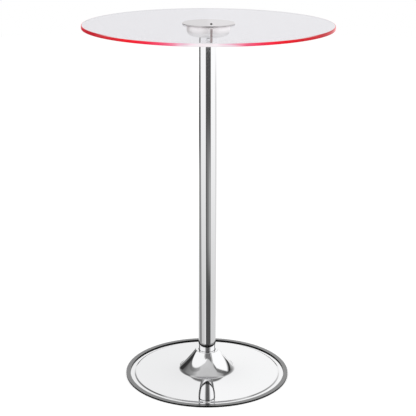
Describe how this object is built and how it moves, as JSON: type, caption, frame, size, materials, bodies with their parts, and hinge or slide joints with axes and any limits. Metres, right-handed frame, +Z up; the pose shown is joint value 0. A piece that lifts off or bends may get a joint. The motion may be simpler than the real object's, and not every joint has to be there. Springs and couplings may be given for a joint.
{
  "type": "bar-height light-up table",
  "caption": "Bar-height pedestal table: round glass plate lit from its centre, chrome hub and column, round trumpet-shaped chrome base.",
  "frame": {"origin": "on the floor, on the column's axis", "axes": "+Z up along the column, -Y towards the front, where the power button and the infrared lens are"},
  "size_m": [0.7, 0.7, 1.0496],
  "materials": {
    "chrome": "mirror-bright chrome plate",
    "clear_glass": "clear tempered glass, polished edge",
    "zinc_steel": "zinc-plated steel",
    "dark_steel": "black-painted steel plate",
    "aluminium": "turned aluminium",
    "black_rubber": "matt black rubber",
    "clear_rubber": "translucent silicone",
    "black_plastic": "moulded black plastic",
    "dark_lens": "dark infrared-pass plastic",
    "strip_white": "white flexible circuit",
    "light": "encapsulated red light",
    "board_green": "green circuit board",
    "cell_wrap": "plain grey sleeve",
    "red_sleeve": "red wire sleeve",
    "black_sleeve": "black wire sleeve"
  },
  "bodies": {
    "table": {"edge_ring": "black_rubber", "base_weight": "dark_steel", "base_cover": "chrome", "spigot": "chrome", "spigot_screw_1": "zinc_steel", "spigot_screw_2": "zinc_steel", "spigot_screw_3": "zinc_steel", "spigot_screw_4": "zinc_steel", "neck_grommet": "black_rubber", "column_gasket": "black_rubber", "column_tube": "chrome", "tie_rod": "zinc_steel", "lower_washer": "zinc_steel", "lower_nut": "zinc_steel", "upper_washer": "zinc_steel", "upper_nut": "zinc_steel", "hub_flange": "zinc_steel", "lower_gasket": "clear_rubber", "glass_top": "clear_glass", "upper_gasket": "clear_rubber", "top_cap": "chrome", "light_carrier": "aluminium", "light_strip": "strip_white", "light_01": "light", "light_02": "light", "light_03": "light", "light_04": "light", "light_05": "light", "light_06": "light", "light_07": "light", "light_08": "light", "light_09": "light", "light_10": "light", "light_11": "light", "light_12": "light", "controller_board": "board_green", "board_screw_1": "zinc_steel", "board_screw_2": "zinc_steel", "infrared_receiver": "black_plastic", "infrared_lens": "dark_lens", "battery_holder_1": "black_plastic", "battery_holder_2": "black_plastic", "battery_holder_3": "black_plastic", "holder_screw_1": "zinc_steel", "holder_screw_2": "zinc_steel", "holder_screw_3": "zinc_steel", "battery_1": "cell_wrap", "battery_2": "cell_wrap", "battery_3": "cell_wrap", "switch_bracket": "black_plastic", "switch_body": "black_plastic", "red_lead": "red_sleeve", "black_lead": "black_sleeve", "switch_lead": "red_sleeve"},
    "cup": {"hub_cup": "chrome", "cup_grommet": "black_rubber"},
    "button": {"power_button": "black_plastic"}
  },
  "joints": [
    {"name": "cup_slide", "type": "slide", "parent": "table", "child": "cup", "axis": [0, 0, -1], "range_m": [0, 0.926]},
    {"name": "button_press", "type": "slide", "parent": "table", "child": "button", "axis": [0, 0, 1], "range_m": [0, 0.0015], "stiffness_N_per_m": 800, "springref_m": -0.001}
  ]
}
